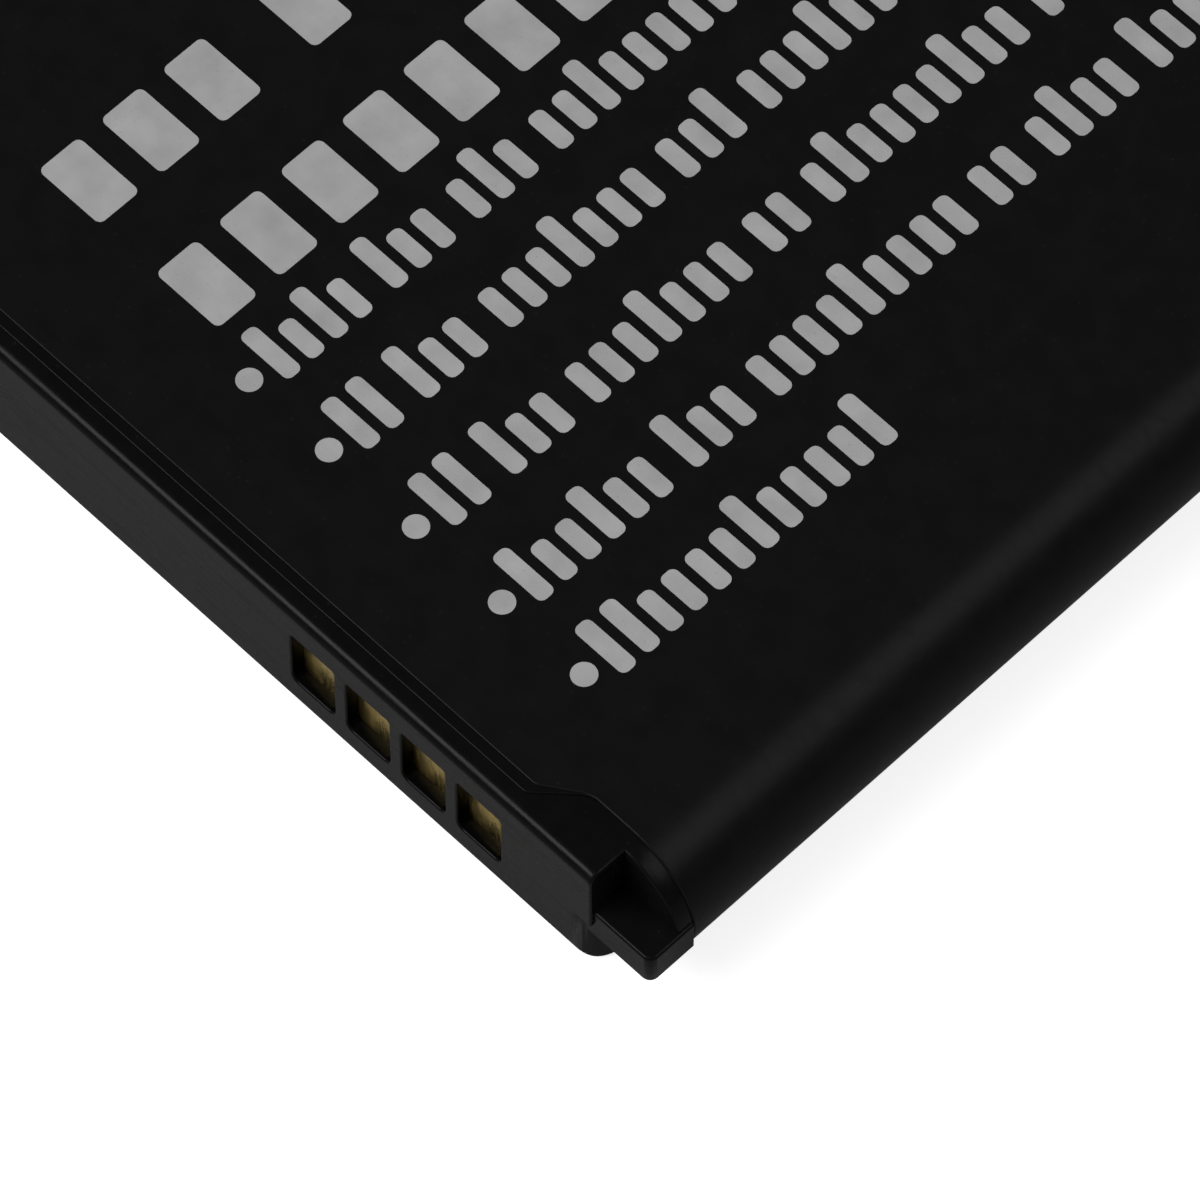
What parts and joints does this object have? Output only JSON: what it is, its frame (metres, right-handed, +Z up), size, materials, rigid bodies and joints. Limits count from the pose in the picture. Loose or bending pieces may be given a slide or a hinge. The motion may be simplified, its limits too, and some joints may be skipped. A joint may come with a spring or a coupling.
{
  "type": "rechargeable battery pack",
  "caption": "Flat rechargeable battery pack with rounded long sides, a moulded contact end with gold contacts in windows, and corner lugs.",
  "frame": {"origin": "centre of the underside", "axes": "+Z up out of the printed face, +Y along the length from the contact end to the foot, +X across the width towards the side that the contacts are nearer to"},
  "size_m": [0.058, 0.063, 0.0058],
  "materials": {
    "black_moulding": "fine matt moulded",
    "printed_film": "satin film",
    "can_aluminium": "drawn",
    "gasket_plastic": "satin",
    "nickel": "bright rolled",
    "insulator_paper": "matt paper",
    "adhesive_tape": "satin",
    "board_laminate": "satin lacquer",
    "gold_contact": "plated, satin",
    "chip_epoxy": "matt",
    "ceramic": "satin",
    "fuse_case": "satin"
  },
  "bodies": {
    "root": {"board_plate_negative": "nickel", "board_plate_positive": "nickel", "cap_tape_left": "adhesive_tape", "cap_tape_right": "adhesive_tape", "capacitor_1": "ceramic", "capacitor_2": "ceramic", "capacitor_3": "ceramic", "cell_can": "can_aluminium", "contact_cap": "black_moulding", "contact_pad_1": "gold_contact", "contact_pad_2": "gold_contact", "contact_pad_3": "gold_contact", "contact_pad_4": "gold_contact", "end_foot": "black_moulding", "fill_plug": "can_aluminium", "foot_tape": "adhesive_tape", "fuse_strip": "nickel", "label_wrap": "printed_film", "lid_insulator": "insulator_paper", "negative_strip": "nickel", "positive_strip": "nickel", "positive_weld_plate": "nickel", "protection_board": "board_laminate", "protection_ic": "chip_epoxy", "resistor_1": "chip_epoxy", "resistor_2": "chip_epoxy", "resistor_3": "chip_epoxy", "switch_transistor": "chip_epoxy", "terminal_gasket": "gasket_plastic", "terminal_rivet": "can_aluminium", "terminal_washer": "nickel", "thermal_fuse": "fuse_case", "thermistor": "ceramic"}
  },
  "joints": []
}
